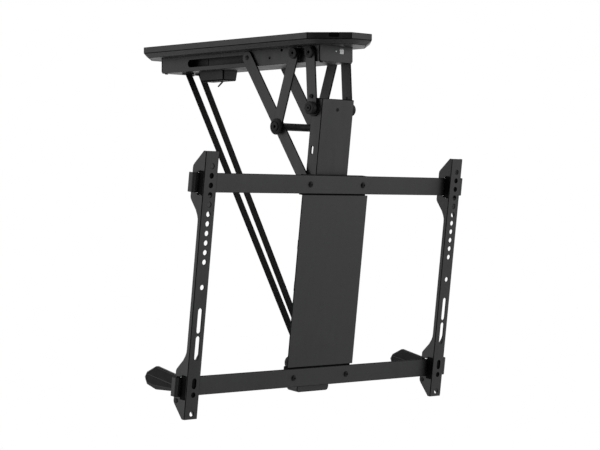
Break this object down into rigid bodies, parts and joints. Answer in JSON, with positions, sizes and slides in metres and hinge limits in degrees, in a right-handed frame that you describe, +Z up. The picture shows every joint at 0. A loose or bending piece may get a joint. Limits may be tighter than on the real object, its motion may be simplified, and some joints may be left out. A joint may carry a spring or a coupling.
{
  "type": "motorized ceiling screen mount",
  "caption": "Ceiling mount that swings a flat screen down from under its tray on driven folding arms, with rails and sliding hooked brackets for the screen.",
  "frame": {"origin": "centre of the upper face of the ceiling plate, where it meets the ceiling", "axes": "+Z up into the ceiling, -Y to where the screen faces when it is let down, +X to the right for someone who looks at the let-down screen from the front"},
  "size_m": [0.663, 0.521, 0.6346],
  "materials": {
    "steel": "fine-textured powder coat, dark grey, satin",
    "dark_steel": "powder coat, near black, satin",
    "black_steel": "black oxide, satin",
    "plastic": "moulded, fine grain, black",
    "lever_plastic": "moulded, satin, black",
    "zinc": "zinc plated",
    "board": "green solder mask",
    "webbing": "black woven webbing",
    "lens": "smoky clear",
    "light_guide": "clear light guide"
  },
  "bodies": {
    "ceiling_unit": {"ceiling_plate": "dark_steel", "tray_cover": "steel", "channel_housing": "steel", "front_panel": "steel", "rear_panel": "steel", "ir_window": "lens", "status_led": "light_guide", "notch_plug": "plastic", "housing_bolts": "zinc", "panel_screws": "black_steel", "control_board": "board", "board_standoffs": "zinc", "power_supply": "dark_steel", "winch_motor": "zinc", "motor_clamps": "dark_steel", "winch_gearbox": "plastic", "drum_bearings": "zinc", "strap_leads": "webbing", "strap_guides": "plastic", "receiver_case": "plastic", "receiver_antenna": "plastic", "pivot_bolts": "black_steel", "pivot_spacers": "black_steel"},
    "winch_drum": {"drum_shaft": "zinc", "strap_spools": "webbing"},
    "short_arms": {"short_arm_left": "steel", "short_arm_right": "steel"},
    "long_arms": {"long_arm_left": "steel", "long_arm_right": "steel", "cross_tube": "black_steel", "knee_bolts": "black_steel", "slider_pins": "black_steel", "slider_rollers": "zinc", "hip_caps": "black_steel"},
    "front_arms": {"front_arm_left": "steel", "front_arm_right": "steel", "arm_stops": "black_steel"},
    "column": {"column_channel": "steel", "head_shaft": "black_steel", "head_spacers": "black_steel", "hip_pads": "plastic", "foot_shaft": "zinc", "foot_caps": "black_steel", "strap_anchors": "webbing", "column_ties": "dark_steel", "centre_plate": "steel", "plate_carrier": "dark_steel", "top_rail": "steel", "bottom_rail": "steel", "rail_cleats": "dark_steel", "column_fasteners": "black_steel"},
    "straps": {"lift_straps": "webbing"},
    "screen_bracket_left": {"bracket_left": "steel", "bracket_pads_left": "plastic", "latch_hinge_left": "black_steel"},
    "screen_bracket_right": {"bracket_right": "steel", "bracket_pads_right": "plastic", "latch_hinge_right": "black_steel"},
    "lever_left": {"latch_lever_left": "lever_plastic"},
    "lever_right": {"latch_lever_right": "lever_plastic"}
  },
  "joints": [
    {"name": "front_arm_swing", "type": "hinge", "parent": "ceiling_unit", "child": "front_arms", "pos_m": [0, -0.182, -0.0302], "axis": [1, 0, 0], "range_deg": [-58, 0]},
    {"name": "screen_fold", "type": "hinge", "parent": "front_arms", "child": "column", "pos_m": [0, -0.18657, -0.12479], "axis": [1, 0, 0], "range_deg": [0, 140.8]},
    {"name": "short_arm_swing", "type": "hinge", "parent": "ceiling_unit", "child": "short_arms", "pos_m": [0, -0.1495, -0.0302], "axis": [1, 0, 0], "range_deg": [0, 59.85]},
    {"name": "knee_bend", "type": "hinge", "parent": "short_arms", "child": "long_arms", "pos_m": [0, -0.1075, -0.1537], "axis": [1, 0, 0], "range_deg": [-107.15, 0]},
    {"name": "strap_swing", "type": "hinge", "parent": "ceiling_unit", "child": "straps", "pos_m": [0, 0.156, -0.046], "axis": [1, 0, 0], "range_deg": [0, 58.5], "deforming": ["lift_straps"]},
    {"name": "drum_spin", "type": "hinge", "parent": "ceiling_unit", "child": "winch_drum", "pos_m": [0, 0.1508, -0.024], "axis": [1, 0, 0], "range_deg": [0, 2114]},
    {"name": "bracket_left_slide", "type": "slide", "parent": "column", "child": "screen_bracket_left", "axis": [1, 0, 0], "range_m": [0, 0.19]},
    {"name": "bracket_right_slide", "type": "slide", "parent": "column", "child": "screen_bracket_right", "axis": [-1, 0, 0], "range_m": [0, 0.19]},
    {"name": "latch_left_turn", "type": "hinge", "parent": "screen_bracket_left", "child": "lever_left", "pos_m": [-0.307, -0.14971, -0.60435], "axis": [1, 0, 0], "range_deg": [-40, 0]},
    {"name": "latch_right_turn", "type": "hinge", "parent": "screen_bracket_right", "child": "lever_right", "pos_m": [0.293, -0.14971, -0.60435], "axis": [1, 0, 0], "range_deg": [-40, 0]}
  ],
  "couplings": [
    {"joint": "screen_fold", "follows": "front_arm_swing", "ratio": -2.4275},
    {"joint": "short_arm_swing", "follows": "front_arm_swing", "ratio": -1.0303},
    {"joint": "knee_bend", "follows": "front_arm_swing", "ratio": 1.8452},
    {"joint": "strap_swing", "follows": "front_arm_swing", "ratio": -1.007},
    {"joint": "drum_spin", "follows": "front_arm_swing", "ratio": -36.434}
  ]
}
